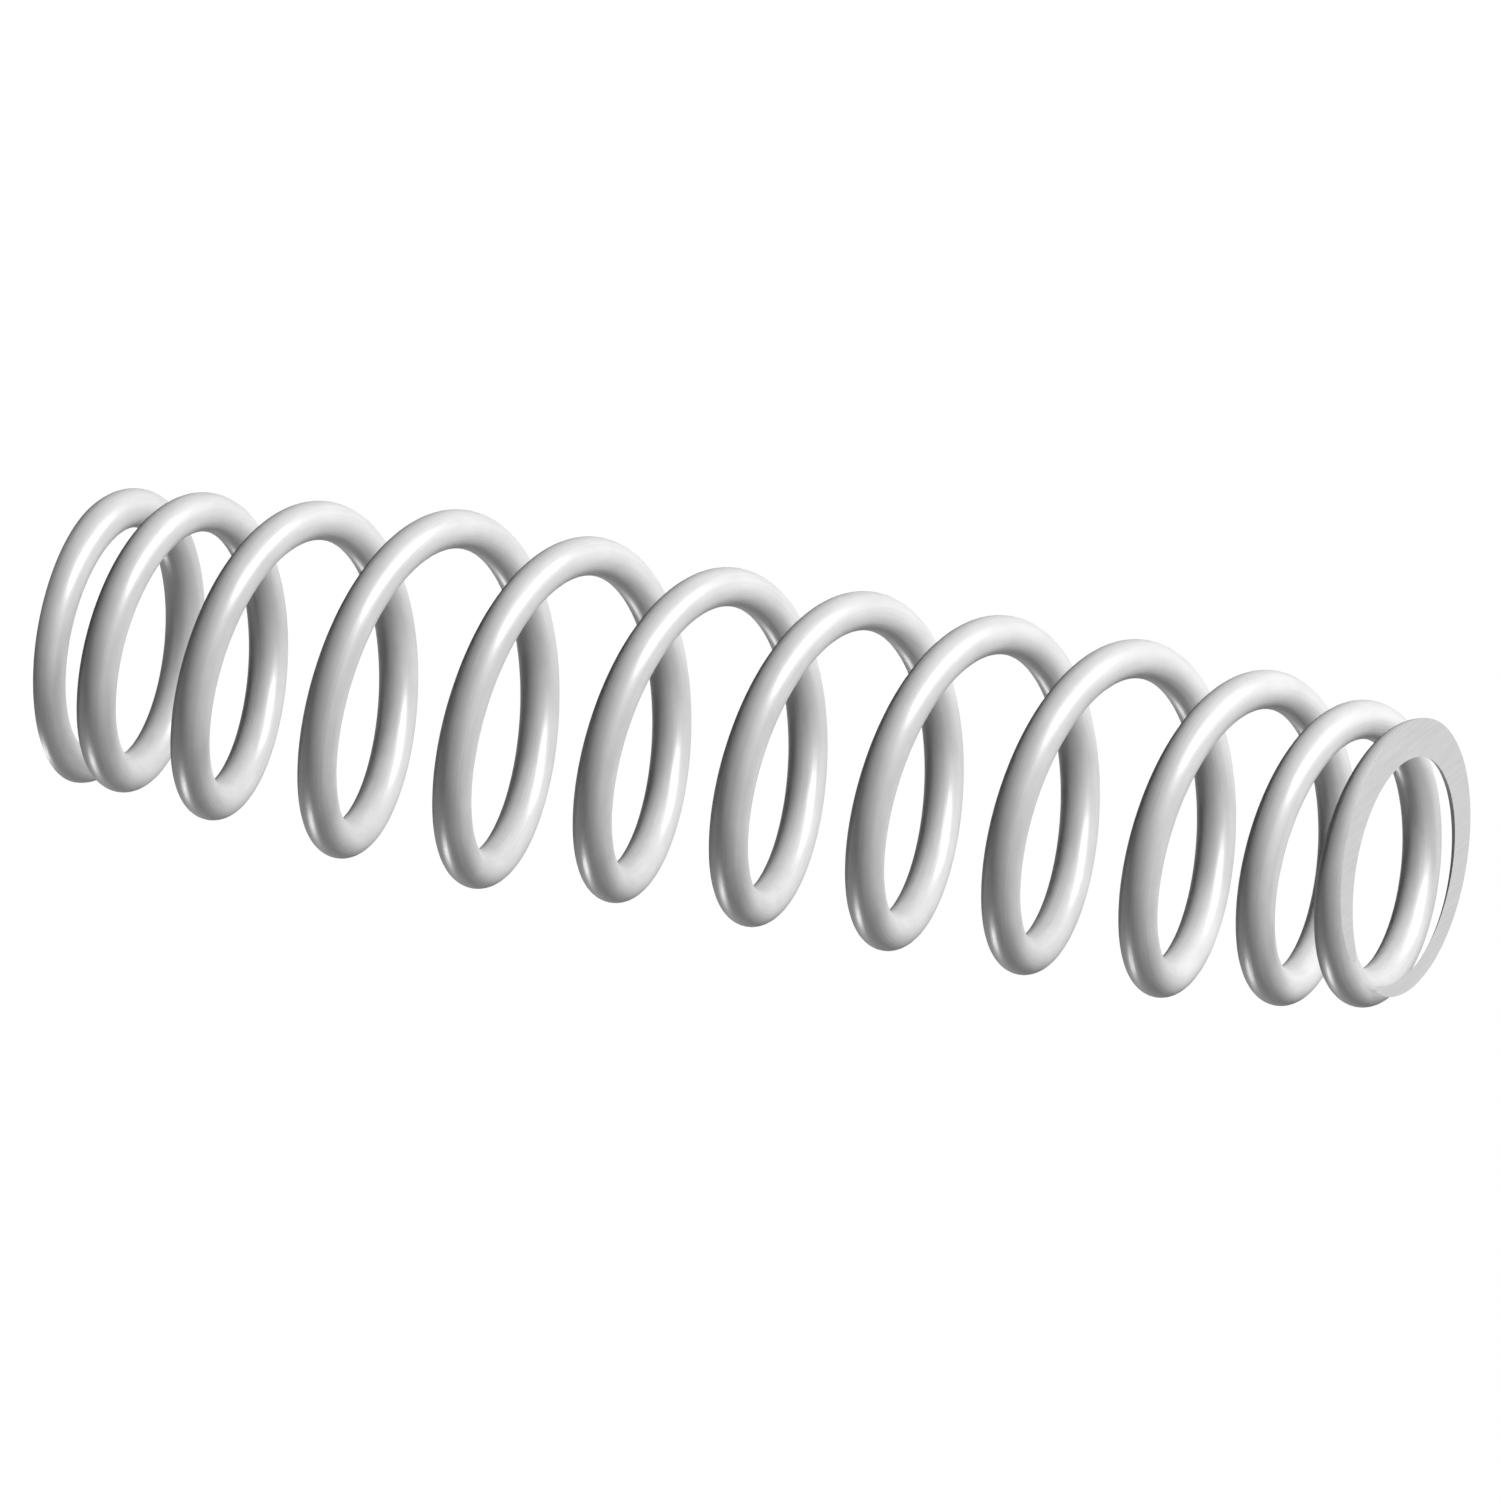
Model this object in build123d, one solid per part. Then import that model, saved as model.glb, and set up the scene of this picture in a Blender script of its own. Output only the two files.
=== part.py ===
from build123d import *
import os
from math import cos, pi, sin

# A left-hand compression spring coiled from one length of round wire, with ground ends.
# It stands on its foot. The origin is on the spring's axis in the ground plane of the foot,
# +Z runs along the axis to the head, and the wire starts on the +X side. Sizes are in mm.

# Wire
wire_diameter = 1.25

# Coil diameters, measured to the middle of the wire
foot_coil_diameter = 8.25
shoulder_coil_diameter = 9.65
belly_coil_diameter = 10.55
body_coil_diameter = 9.87
head_coil_diameter = 8.1

# Rise of the wire for each turn of the body
body_pitch = 4.84

# Space that is left along the axis between an end turn and the turn beside it
foot_gap = 0.19
head_gap = 0.2

# Thickness of wire that grinding leaves at each tip
foot_tip_thickness = 0.58
head_tip_thickness = 0.08

# Turns of wire, counted from the foot
total_turns = 12.06
foot_round_turns = 0.9
shoulder_turn = 2.75
belly_start_turn = 3.35
belly_end_turn = 4.5
body_start_turn = 4.7
foot_opening_turns = 2.5

# Turns of wire, counted back from the head
body_end_turns = 3.1
head_round_turns = 0.9
head_closing_turns = 3.0

# Stations for each turn through which the middle of the wire is drawn
stations_per_turn = 8

wire_radius = wire_diameter / 2


def end_pitch(gap, ramp_turns):
    """Pitch at the tip of an end that leaves the gap beside its last turn.

    The pitch falls evenly from the body's to the tip's over the ramp's turns.
    """
    body_share = 1 / (2 * ramp_turns)
    return (wire_diameter + gap - body_pitch * body_share) / (1 - body_share)


# Each table pairs a turn with the value that the wire has there
diameter_table = [
    (0, foot_coil_diameter),
    (foot_round_turns, foot_coil_diameter),
    (shoulder_turn, shoulder_coil_diameter),
    (belly_start_turn, belly_coil_diameter),
    (belly_end_turn, belly_coil_diameter),
    (body_start_turn, body_coil_diameter),
    (total_turns - body_end_turns, body_coil_diameter),
    (total_turns - head_round_turns, head_coil_diameter),
    (total_turns, head_coil_diameter),
]
pitch_table = [
    (0, end_pitch(foot_gap, foot_opening_turns)),
    (foot_opening_turns, body_pitch),
    (total_turns - head_closing_turns, body_pitch),
    (total_turns, end_pitch(head_gap, head_closing_turns)),
]


def value_at(table, turn):
    """The table's value at a turn, on the straight line between its neighbours."""
    for (low, low_value), (high, high_value) in zip(table, table[1:]):
        if turn <= high:
            share = (turn - low) / (high - low)
            return low_value + share * (high_value - low_value)
    return table[-1][1]


def rise_at(turn):
    """Height that the wire has gained from its start, which adds up the pitch."""
    rise = 0
    for (low, low_pitch), (high, _) in zip(pitch_table, pitch_table[1:]):
        if turn > low:
            end = min(turn, high)
            rise += (end - low) * (low_pitch + value_at(pitch_table, end)) / 2
    return rise


# The foot's grinding plane is the height 0
start_height = foot_tip_thickness - wire_radius
free_length = start_height + rise_at(total_turns) - wire_radius + head_tip_thickness


def wire_middle(turn):
    """Point in the middle of the wire; the turns run clockwise seen from the head."""
    radius = value_at(diameter_table, turn) / 2
    angle = -2 * pi * turn
    return radius * cos(angle), radius * sin(angle), start_height + rise_at(turn)


def coiled_wire():
    """The round wire swept along its coils, before its ends are ground."""
    stations = round(total_turns * stations_per_turn)
    turns = [total_turns * i / stations for i in range(stations + 1)]
    path = Spline(*[wire_middle(turn) for turn in turns])
    section = Plane(origin=path @ 0, z_dir=path % 0) * Circle(wire_radius)
    return sweep(section, path=path, is_frenet=True)


def ground_ends(wire):
    """The wire between the two grinding planes, square to the axis."""
    reach = belly_coil_diameter + body_coil_diameter + 2 * wire_diameter
    between_planes = extrude(Rectangle(reach, reach), amount=free_length)
    return wire & between_planes


os.makedirs("parts", exist_ok=True)
spring = ground_ends(coiled_wire())
export_step(spring, "parts/spring_wire.step")
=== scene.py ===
import math

import bmesh
import bpy
import numpy as np
from mathutils import Matrix, Vector


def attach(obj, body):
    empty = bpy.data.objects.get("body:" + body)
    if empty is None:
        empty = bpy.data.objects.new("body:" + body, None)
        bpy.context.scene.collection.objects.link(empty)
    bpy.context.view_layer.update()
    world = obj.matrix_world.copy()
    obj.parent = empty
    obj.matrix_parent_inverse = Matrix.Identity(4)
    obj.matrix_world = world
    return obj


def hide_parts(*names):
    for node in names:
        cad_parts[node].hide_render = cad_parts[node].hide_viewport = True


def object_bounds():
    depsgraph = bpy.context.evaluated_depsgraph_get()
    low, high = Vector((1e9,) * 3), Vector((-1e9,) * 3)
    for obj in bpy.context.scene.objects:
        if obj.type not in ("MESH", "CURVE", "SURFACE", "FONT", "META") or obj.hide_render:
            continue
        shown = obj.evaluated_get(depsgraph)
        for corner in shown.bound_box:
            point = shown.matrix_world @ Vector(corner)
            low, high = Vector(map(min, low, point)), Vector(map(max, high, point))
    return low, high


# The look of a compression spring with ground ends: its wire, drawn more finely than in the frame,
# the finish of the steel, a pale floor and plain studio light. Lengths are in metres.

MM = 0.001

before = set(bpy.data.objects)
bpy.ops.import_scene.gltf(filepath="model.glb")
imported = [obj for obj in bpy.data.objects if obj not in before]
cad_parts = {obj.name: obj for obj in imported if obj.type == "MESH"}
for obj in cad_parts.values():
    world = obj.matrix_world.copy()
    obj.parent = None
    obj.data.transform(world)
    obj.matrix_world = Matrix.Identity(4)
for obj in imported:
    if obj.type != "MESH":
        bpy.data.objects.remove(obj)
cad_low, cad_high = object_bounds()
free_length = cad_high[2] - cad_low[2]
centre = Vector((0, 0, (cad_low[2] + cad_high[2]) / 2))

# Wire
WIRE_DIAMETER = 1.25 * MM
WIRE_RADIUS = WIRE_DIAMETER / 2

# Coil diameters, measured to the middle of the wire. They are 0.05 mm wider than in the frame,
# apart from the belly's, which fills the frame's box.
FOOT_COIL_DIAMETER = 8.3 * MM
SHOULDER_COIL_DIAMETER = 9.7 * MM
BELLY_COIL_DIAMETER = 10.55 * MM
BODY_COIL_DIAMETER = 9.92 * MM
HEAD_COIL_DIAMETER = 8.15 * MM

# Rise of the wire for each turn of the body
BODY_PITCH = 4.84 * MM

# Space that is left along the axis between an end turn and the turn beside it
FOOT_GAP = 0.19 * MM
HEAD_GAP = 0.2 * MM

# Thickness of wire that grinding leaves at the foot's tip
FOOT_TIP_THICKNESS = 0.58 * MM

# Turns of wire, counted from the foot
TOTAL_TURNS = 12.06
FOOT_ROUND_TURNS = 0.9
SHOULDER_TURN = 2.75
BELLY_START_TURN = 3.35
BELLY_END_TURN = 4.5
BODY_START_TURN = 4.7
FOOT_OPENING_TURNS = 2.5

# Turns of wire, counted back from the head
BODY_END_TURNS = 3.1
HEAD_ROUND_TURNS = 0.9
HEAD_CLOSING_TURNS = 3.0

# The head's tip thins out to nothing: its coils are lifted a little above the frame's between two
# turns, counted back from the head, and the wire goes on to where grinding has taken all of it.
HEAD_LIFT = 0.05 * MM
LIFT_START_TURNS = 3
LIFT_END_TURNS = 1
DRAWN_ON_TURNS = 0.06

# Fineness of the drawn wire, and how the corners of the diameter table are rounded off
RINGS_PER_TURN = 176
SIDES = 36
SIDE_ANGLES = np.arange(SIDES) * 2 * np.pi / SIDES
BLEND_TURNS = 0.1
BLEND_SAMPLES = 9

# How near the grinding plane a point counts as in it
CUT_TOLERANCE = 1e-9

# Each point of the wire keeps its place: the cosine and sine of its direction from the wire's
# middle, and the length of wire up to it in wire diameters
PLACE = "wire_place"

# Material slot of the ground faces. The drawn steel is in the first slot, 0.
GROUND_SLOT = 1

# The part of the noise's range in which nearly all of it lies
NOISE_LOW, NOISE_HIGH = 0.3, 0.7

# The blue of the steel's grey, as a share of its red and green
STEEL_COOLNESS = 1.008

# White of the background where it is seen
BACKGROUND_WHITE = 0.96

FLOOR_RADIUS = 4.0
FLOOR_SIDES = 96
FLOOR_GREY = 0.05

# The camera looks down at the spring, and is rolled so that the spring lies across the image with
# its head to the right and a little down. The aim is beside the middle of the spring, in shares of
# its free length.
CAMERA_AZIMUTH = math.radians(-116.6)
CAMERA_ELEVATION = math.radians(25)
AXIS_DROP = math.radians(10)
FRAME_PER_LENGTH = 1.0264
AIM_SIDE = -0.0018
AIM_RISE = -0.0006
CAMERA_DISTANCE = 0.5
CLIP_START = 0.01
CLIP_END = 10

# Round lamps, all at one distance: the name, the direction along the camera's right, up and back,
# the power in watts, and whether it casts shadows. The fills cast none, so that the coils don't
# darken one another and the low one reaches the undersides through the floor.
LAMP_DISTANCE = 0.6
LAMP_SIZE = 0.14
KEY_DIRECTION = (0.66, 0.41, 0.63)
LAMPS = [
    ("key", KEY_DIRECTION, 1.0, True),
    ("key_fill", KEY_DIRECTION, 2.6, False),
    ("side_fill", (0.79, 0.57, 0.21), 1.8, False),
    ("low_fill", (-0.42, -0.75, -0.5), 1.15, False),
]


def end_pitch(gap, ramp_turns):
    """Pitch at the tip of an end that leaves the gap beside its last turn.

    The pitch falls evenly from the body's to the tip's over the ramp's turns.
    """
    body_share = 1 / (2 * ramp_turns)
    return (WIRE_DIAMETER + gap - BODY_PITCH * body_share) / (1 - body_share)


# Each table pairs a turn with the value that the wire has there
DIAMETER_TABLE = [
    (0, FOOT_COIL_DIAMETER),
    (FOOT_ROUND_TURNS, FOOT_COIL_DIAMETER),
    (SHOULDER_TURN, SHOULDER_COIL_DIAMETER),
    (BELLY_START_TURN, BELLY_COIL_DIAMETER),
    (BELLY_END_TURN, BELLY_COIL_DIAMETER),
    (BODY_START_TURN, BODY_COIL_DIAMETER),
    (TOTAL_TURNS - BODY_END_TURNS, BODY_COIL_DIAMETER),
    (TOTAL_TURNS - HEAD_ROUND_TURNS, HEAD_COIL_DIAMETER),
    (TOTAL_TURNS, HEAD_COIL_DIAMETER),
]
PITCH_TABLE = [
    (0, end_pitch(FOOT_GAP, FOOT_OPENING_TURNS)),
    (FOOT_OPENING_TURNS, BODY_PITCH),
    (TOTAL_TURNS - HEAD_CLOSING_TURNS, BODY_PITCH),
    (TOTAL_TURNS, end_pitch(HEAD_GAP, HEAD_CLOSING_TURNS)),
]
LIFT_TABLE = [
    (TOTAL_TURNS - LIFT_START_TURNS, 0),
    (TOTAL_TURNS - LIFT_END_TURNS, HEAD_LIFT),
]


# ---- The wire's shape ----

def values_at(table, turns):
    """The table's value at each turn, on the straight lines between its rows."""
    return np.interp(turns, [row[0] for row in table], [row[1] for row in table])


def coil_radii(turns):
    """Half the coil diameter at each turn, with the table's corners rounded off."""
    offsets = np.linspace(-BLEND_TURNS, BLEND_TURNS, BLEND_SAMPLES)
    return np.mean([values_at(DIAMETER_TABLE, turns + offset) for offset in offsets], axis=0) / 2


def wire_heights(turns):
    """Height of the wire's middle at each turn, which adds up the pitch from the foot."""
    pitches = values_at(PITCH_TABLE, turns)
    rises = (pitches[1:] + pitches[:-1]) / 2 * np.diff(turns)
    start = FOOT_TIP_THICKNESS - WIRE_RADIUS
    return start + np.concatenate([[0], np.cumsum(rises)]) + values_at(LIFT_TABLE, turns)


def unit(vectors):
    return vectors / np.linalg.norm(vectors, axis=1, keepdims=True)


def wire_rings():
    """Rings of points round the wire, as (ring, side, xyz), and the length of wire up to each."""
    drawn_turns = TOTAL_TURNS + DRAWN_ON_TURNS
    turns = np.linspace(0, drawn_turns, round(drawn_turns * RINGS_PER_TURN) + 1)
    angles = -2 * np.pi * turns
    radii = coil_radii(turns)
    middle = np.stack([radii * np.cos(angles), radii * np.sin(angles), wire_heights(turns)], axis=1)
    along = unit(np.gradient(middle, axis=0))
    outward = np.stack([np.cos(angles), np.sin(angles), np.zeros_like(angles)], axis=1)
    outward = unit(outward - (outward * along).sum(axis=1, keepdims=True) * along)
    upward = np.cross(outward, along)
    spread = (
        np.cos(SIDE_ANGLES)[None, :, None] * outward[:, None, :]
        + np.sin(SIDE_ANGLES)[None, :, None] * upward[:, None, :]
    )
    steps = np.linalg.norm(np.diff(middle, axis=0), axis=1)
    lengths = np.concatenate([[0], np.cumsum(steps)])
    return middle[:, None, :] + WIRE_RADIUS * spread, lengths


def grind(bm, height, side):
    """Cuts the wire flat at a height and closes the cut with one face of ground steel."""
    cut = bmesh.ops.bisect_plane(
        bm,
        geom=bm.verts[:] + bm.edges[:] + bm.faces[:],
        dist=CUT_TOLERANCE,
        plane_co=(0, 0, height),
        plane_no=(0, 0, side),
        clear_outer=True,
    )
    rim = [e for e in cut["geom_cut"] if isinstance(e, bmesh.types.BMEdge) and e.is_boundary]
    made = bmesh.ops.contextual_create(bm, geom=rim)
    for face in made["faces"]:
        face.smooth = False
        face.material_index = GROUND_SLOT
        for edge in face.edges:
            edge.smooth = False


def object_of(name, bm):
    """A new object in the scene with the mesh that was built."""
    mesh = bpy.data.meshes.new(name)
    bm.to_mesh(mesh)
    bm.free()
    made = bpy.data.objects.new(name, mesh)
    bpy.context.scene.collection.objects.link(made)
    return made


def build_wire():
    """The wire as one closed mesh: its coiled side, its two tips and its two ground faces."""
    rings, lengths = wire_rings()
    bm = bmesh.new()
    place = bm.verts.layers.float_vector.new(PLACE)
    rows = []
    for ring, length in zip(rings, lengths):
        row = [bm.verts.new(point) for point in ring]
        for vert, angle in zip(row, SIDE_ANGLES):
            vert[place] = (math.cos(angle), math.sin(angle), length / WIRE_DIAMETER)
        rows.append(row)
    for row, following in zip(rows, rows[1:]):
        for j in range(SIDES):
            k = (j + 1) % SIDES
            face = bm.faces.new((row[j], row[k], following[k], following[j]))
            face.smooth = True
    for ring in (rows[0][::-1], rows[-1]):
        tip = bm.faces.new(ring)
        for edge in tip.edges:
            edge.smooth = False
    grind(bm, cad_high[2], 1)
    grind(bm, cad_low[2], -1)
    bmesh.ops.recalc_face_normals(bm, faces=bm.faces)
    return object_of("spring_wire_fine", bm)


# ---- Materials ----

def node_of(nodes, kind, **sockets):
    """A new node with values set on its input sockets, whose names have _ for each space."""
    node = nodes.new(kind)
    for name, value in sockets.items():
        node.inputs[name.replace("_", " ")].default_value = value
    return node


def new_material(name):
    """A node material with one Principled shader, and its nodes and links."""
    material = bpy.data.materials.new(name)
    material.use_nodes = True
    return material, material.node_tree.nodes, material.node_tree.links


def bright_steel(nodes):
    """The shader of both finishes, with what is the same all over the steel."""
    shader = nodes["Principled BSDF"]
    shader.inputs["Metallic"].default_value = 0.17
    shader.inputs["Specular IOR Level"].default_value = 0.0
    return shader


def noise_of(nodes, links, vector, stretch, scale, detail):
    """Noise on a vector that is first multiplied by the stretch."""
    stretched = nodes.new("ShaderNodeVectorMath")
    stretched.operation = "MULTIPLY"
    stretched.inputs[1].default_value = stretch
    links.new(vector, stretched.inputs[0])
    noise = node_of(nodes, "ShaderNodeTexNoise", Scale=scale, Detail=detail, Roughness=0.7)
    links.new(stretched.outputs[0], noise.inputs["Vector"])
    return noise.outputs["Fac"]


def tone_of(nodes, links, noise, dark, light):
    """A grey that goes from dark to light over the noise's range."""
    ramp = nodes.new("ShaderNodeValToRGB")
    for element, place, grey in zip(ramp.color_ramp.elements, (NOISE_LOW, NOISE_HIGH), (dark, light)):
        element.position = place
        element.color = (grey, grey, grey * STEEL_COOLNESS, 1)
    links.new(noise, ramp.inputs["Fac"])
    return ramp.outputs["Color"]


def spread_of(nodes, links, noise, start, end):
    """A value that goes from start to end over the noise's range."""
    spread = node_of(
        nodes, "ShaderNodeMapRange", From_Min=NOISE_LOW, From_Max=NOISE_HIGH, To_Min=start, To_Max=end
    )
    links.new(noise, spread.inputs["Value"])
    return spread.outputs["Result"]


def mean_of(nodes, links, first, second):
    mean = node_of(nodes, "ShaderNodeMix", Factor=0.5)
    links.new(first, mean.inputs["A"])
    links.new(second, mean.inputs["B"])
    return mean.outputs["Result"]


def bump_of(nodes, links, height, depth, strength):
    bump = node_of(nodes, "ShaderNodeBump", Distance=depth, Strength=strength)
    links.new(height, bump.inputs["Height"])
    return bump.outputs["Normal"]


def drawn_steel():
    """Bright drawn wire: a satin sheen, die lines along its length and a faintly cloudy tone."""
    material, nodes, links = new_material("spring_steel_drawn")
    shader = bright_steel(nodes)
    place = node_of(nodes, "ShaderNodeAttribute")
    place.attribute_name = PLACE
    vector = place.outputs["Vector"]
    lines = noise_of(nodes, links, vector, stretch=(1, 1, 0.01), scale=9, detail=5)
    clouds = noise_of(nodes, links, vector, stretch=(0.6, 0.6, 0.5), scale=1.6, detail=2)
    both = mean_of(nodes, links, lines, clouds)
    tone = tone_of(nodes, links, both, dark=0.56, light=0.68)
    roughness = spread_of(nodes, links, both, start=0.41, end=0.32)
    bump = bump_of(nodes, links, lines, depth=0.01 * MM, strength=0.5)
    links.new(tone, shader.inputs["Base Color"])
    links.new(roughness, shader.inputs["Roughness"])
    links.new(bump, shader.inputs["Normal"])
    return material


def ground_steel():
    """The ground faces: flat, with the fine straight marks of the grinding wheel."""
    material, nodes, links = new_material("spring_steel_ground")
    shader = bright_steel(nodes)
    vector = node_of(nodes, "ShaderNodeTexCoord").outputs["Object"]
    marks = noise_of(nodes, links, vector, stretch=(1, 0.04, 1), scale=13 / MM, detail=4)
    tone = tone_of(nodes, links, marks, dark=0.50, light=0.58)
    roughness = spread_of(nodes, links, marks, start=0.42, end=0.52)
    bump = bump_of(nodes, links, marks, depth=0.002 * MM, strength=0.4)
    links.new(tone, shader.inputs["Base Color"])
    links.new(roughness, shader.inputs["Roughness"])
    links.new(bump, shader.inputs["Normal"])
    return material


def white_where_seen(tree, strength_input):
    """White at the camera, in gloss and through glass. It gives the object no other light."""
    nodes, links = tree.nodes, tree.links
    path = nodes.new("ShaderNodeLightPath")
    seen = path.outputs["Is Camera Ray"]
    for ray in ("Is Glossy Ray", "Is Transmission Ray"):
        either = nodes.new("ShaderNodeMath")
        either.operation = "MAXIMUM"
        links.new(seen, either.inputs[0])
        links.new(path.outputs[ray], either.inputs[1])
        seen = either.outputs[0]
    strength = nodes.new("ShaderNodeMath")
    strength.operation = "MULTIPLY"
    strength.inputs[1].default_value = BACKGROUND_WHITE
    links.new(seen, strength.inputs[0])
    links.new(strength.outputs[0], strength_input)


def floor_material():
    """A pale floor, white where it is seen, that keeps a soft shadow."""
    material, nodes, links = new_material("floor_pale")
    nodes.remove(nodes["Principled BSDF"])
    diffuse = node_of(nodes, "ShaderNodeBsdfDiffuse", Color=(FLOOR_GREY, FLOOR_GREY, FLOOR_GREY, 1))
    glow = node_of(nodes, "ShaderNodeEmission", Color=(1, 1, 1, 1))
    white_where_seen(material.node_tree, glow.inputs["Strength"])
    both = nodes.new("ShaderNodeAddShader")
    links.new(diffuse.outputs[0], both.inputs[0])
    links.new(glow.outputs[0], both.inputs[1])
    links.new(both.outputs[0], nodes["Material Output"].inputs["Surface"])
    return material


# ---- Floor, camera and light ----

def build_floor():
    """A wide round floor at the foot's ground plane."""
    bm = bmesh.new()
    rim = []
    for i in range(FLOOR_SIDES):
        angle = 2 * math.pi * i / FLOOR_SIDES
        point = (FLOOR_RADIUS * math.cos(angle), FLOOR_RADIUS * math.sin(angle), cad_low[2])
        rim.append(bm.verts.new(point))
    bm.faces.new(rim)
    floor = object_of("floor", bm)
    floor.data.materials.append(floor_material())


def camera_axes():
    """Directions to the right, up and back of the camera."""
    back = Vector((
        math.cos(CAMERA_ELEVATION) * math.cos(CAMERA_AZIMUTH),
        math.cos(CAMERA_ELEVATION) * math.sin(CAMERA_AZIMUTH),
        math.sin(CAMERA_ELEVATION),
    ))
    axis = Vector((0, 0, 1)) - back * back.z
    axis.normalize()
    right = axis * math.cos(AXIS_DROP) + back.cross(axis) * math.sin(AXIS_DROP)
    return right, back.cross(right), back


def build_camera(right, up, back):
    data = bpy.data.cameras.new("camera")
    data.type = "ORTHO"
    data.ortho_scale = FRAME_PER_LENGTH * free_length
    data.clip_start = CLIP_START
    data.clip_end = CLIP_END
    camera = bpy.data.objects.new("camera", data)
    bpy.context.scene.collection.objects.link(camera)
    turn = Matrix((right, up, back)).transposed().to_4x4()
    aim = centre + (right * AIM_SIDE + up * AIM_RISE) * free_length
    camera.matrix_world = Matrix.Translation(aim + back * CAMERA_DISTANCE) @ turn
    bpy.context.scene.camera = camera


def build_lamp(name, direction, power, shadow):
    """A lamp that points at the spring. Without shadow it passes through things, and doesn't bounce."""
    data = bpy.data.lights.new(name, "AREA")
    data.shape = "DISK"
    data.size = LAMP_SIZE
    data.energy = power
    data.use_shadow = shadow
    if not shadow:
        data.cycles.use_multiple_importance_sampling = False
        data.cycles.max_bounces = 0
    lamp = bpy.data.objects.new(name, data)
    bpy.context.scene.collection.objects.link(lamp)
    lamp.location = centre + direction.normalized() * LAMP_DISTANCE
    lamp.rotation_euler = direction.to_track_quat("Z", "Y").to_euler()


def build_world():
    world = bpy.data.worlds.new("studio")
    bpy.context.scene.world = world
    world.use_nodes = True
    background = world.node_tree.nodes["Background"]
    background.inputs["Color"].default_value = (1, 1, 1, 1)
    white_where_seen(world.node_tree, background.inputs["Strength"])


wire = build_wire()
wire.data.materials.append(drawn_steel())
wire.data.materials.append(ground_steel())
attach(wire, "root")
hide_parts("spring_wire")

build_floor()
right, up, back = camera_axes()
build_camera(right, up, back)
for name, (x, y, z), power, shadow in LAMPS:
    build_lamp(name, right * x + up * y + back * z, power, shadow)
build_world()
bpy.context.scene.view_settings.view_transform = "Standard"
